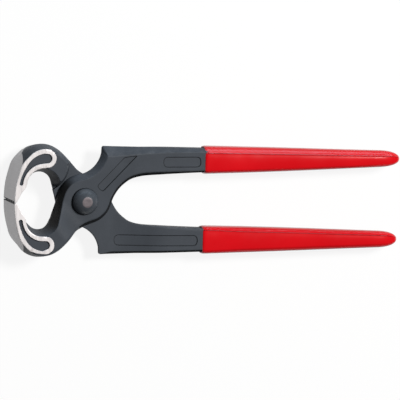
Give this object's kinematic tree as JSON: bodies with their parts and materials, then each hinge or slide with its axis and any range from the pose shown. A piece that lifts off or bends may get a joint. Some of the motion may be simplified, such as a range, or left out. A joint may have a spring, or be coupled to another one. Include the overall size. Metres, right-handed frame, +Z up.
{
  "type": "end cutting nippers",
  "caption": "Carpenters' pincers: two forged levers crossing in a riveted lap joint, with wide end cutting jaws, ground ribs and plastic handle sleeves.",
  "frame": {"origin": "on the pivot axis, in the plane of the lower ground ribs and the lower rivet flat, on which the head lies", "axes": "+X along the handles, away from the jaws; +Y towards the handle of the lever that lies on top at the joint; +Z up along the pivot axis"},
  "size_m": [0.225, 0.063, 0.025],
  "materials": {
    "forged_steel": "black oxidised forging, ground bare on the jaw ribs and end faces",
    "rivet_steel": "black oxidised, with a flat ground bare on each head",
    "grip_plastic": "smooth glossy dipped plastic"
  },
  "bodies": {
    "rear": {"rear_lever": "forged_steel", "lower_grip": "grip_plastic", "pivot_rivet": "rivet_steel"},
    "front": {"front_lever": "forged_steel", "upper_grip": "grip_plastic"}
  },
  "joints": [
    {"name": "jaw_pivot", "type": "hinge", "parent": "rear", "child": "front", "pos_m": [0, 0, 0.0125], "axis": [0, 0, 1], "range_deg": [-0.7, 40]}
  ]
}
